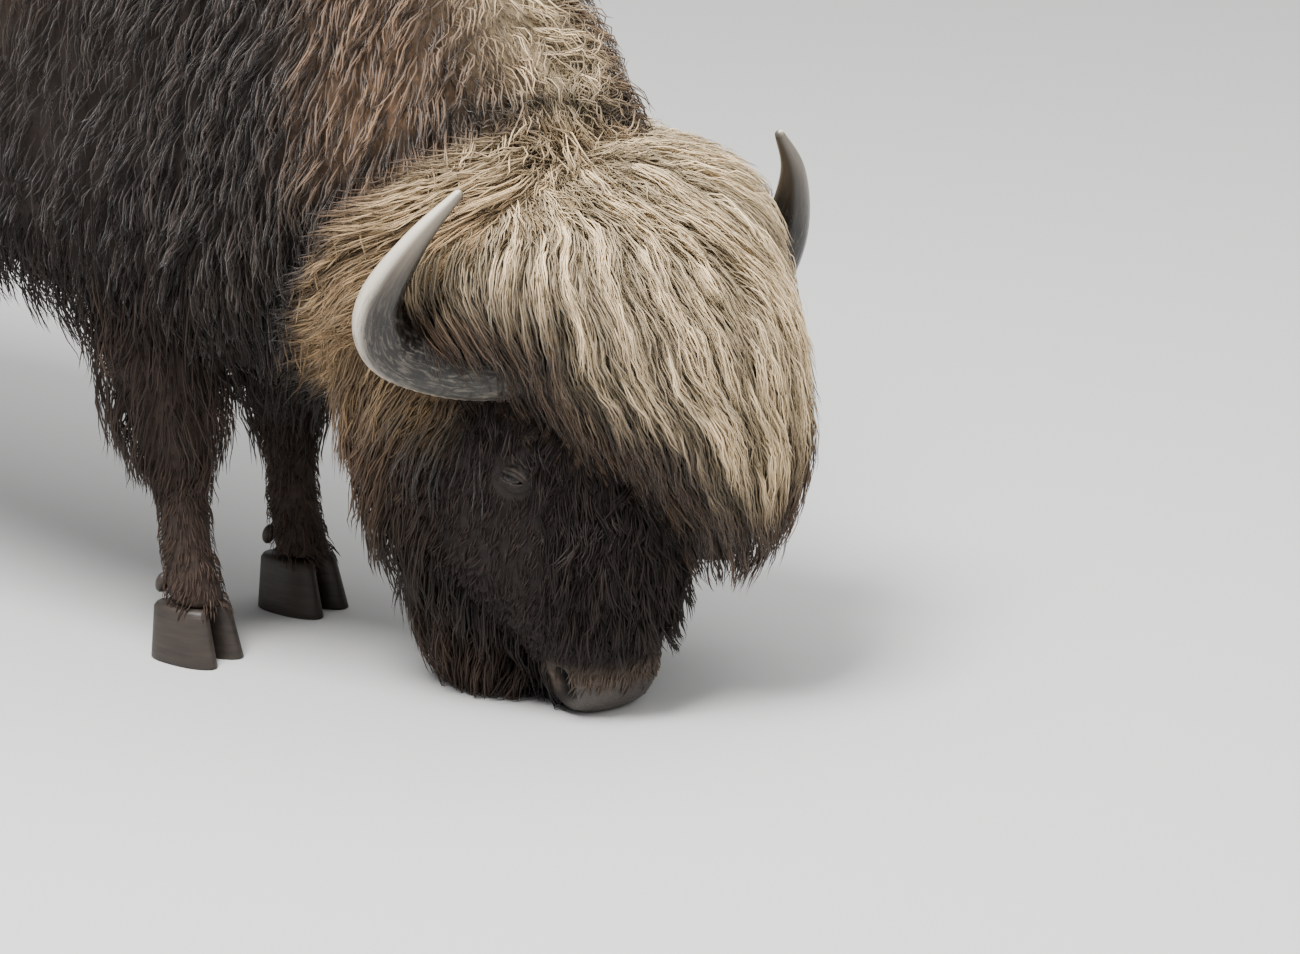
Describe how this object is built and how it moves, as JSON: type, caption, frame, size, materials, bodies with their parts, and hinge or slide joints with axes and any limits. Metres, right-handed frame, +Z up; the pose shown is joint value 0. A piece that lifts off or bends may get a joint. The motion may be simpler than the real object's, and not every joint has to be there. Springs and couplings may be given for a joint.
{
  "type": "american bison",
  "caption": "American bison bull grazing with its muzzle on the ground: humped shoulders, curved horns, long crown hair and beard. A still, life-size animal model.",
  "frame": {"origin": "middle of the underside of the model's box, on the floor", "axes": "+Z up, the animal faces -Y, its left side is +X, its tail is at +Y; X is the shortest side of the box and Y the longest"},
  "size_m": [0.8132, 2.3386, 1.695],
  "materials": {
    "coat_crown": "long wavy tan hair",
    "coat_cape": "woolly sun-bleached hair",
    "coat_flank": "short brown summer hair",
    "coat_dark": "near-black hair",
    "horn": "polished horn, paler at the tip",
    "hoof": "dull dark hoof horn",
    "eye": "wet dark eye"
  },
  "bodies": {
    "root": {"head": "coat_dark", "mop": "coat_crown", "beard": "coat_dark", "neck": "coat_cape", "shoulders": "coat_cape", "barrel": "coat_flank", "hindquarters": "coat_flank", "horn_left": "horn", "ear_left": "coat_dark", "eye_left": "eye", "horn_right": "horn", "ear_right": "coat_dark", "eye_right": "eye", "foreleg_left_upper": "coat_dark", "foreleg_left_lower": "coat_dark", "hoof_fore_left": "hoof", "hindleg_left_upper": "coat_dark", "hindleg_left_lower": "coat_dark", "hoof_hind_left": "hoof", "foreleg_right_upper": "coat_dark", "foreleg_right_lower": "coat_dark", "hoof_fore_right": "hoof", "hindleg_right_upper": "coat_dark", "hindleg_right_lower": "coat_dark", "hoof_hind_right": "hoof", "tail": "coat_flank", "tail_tuft": "coat_dark"}
  },
  "joints": []
}
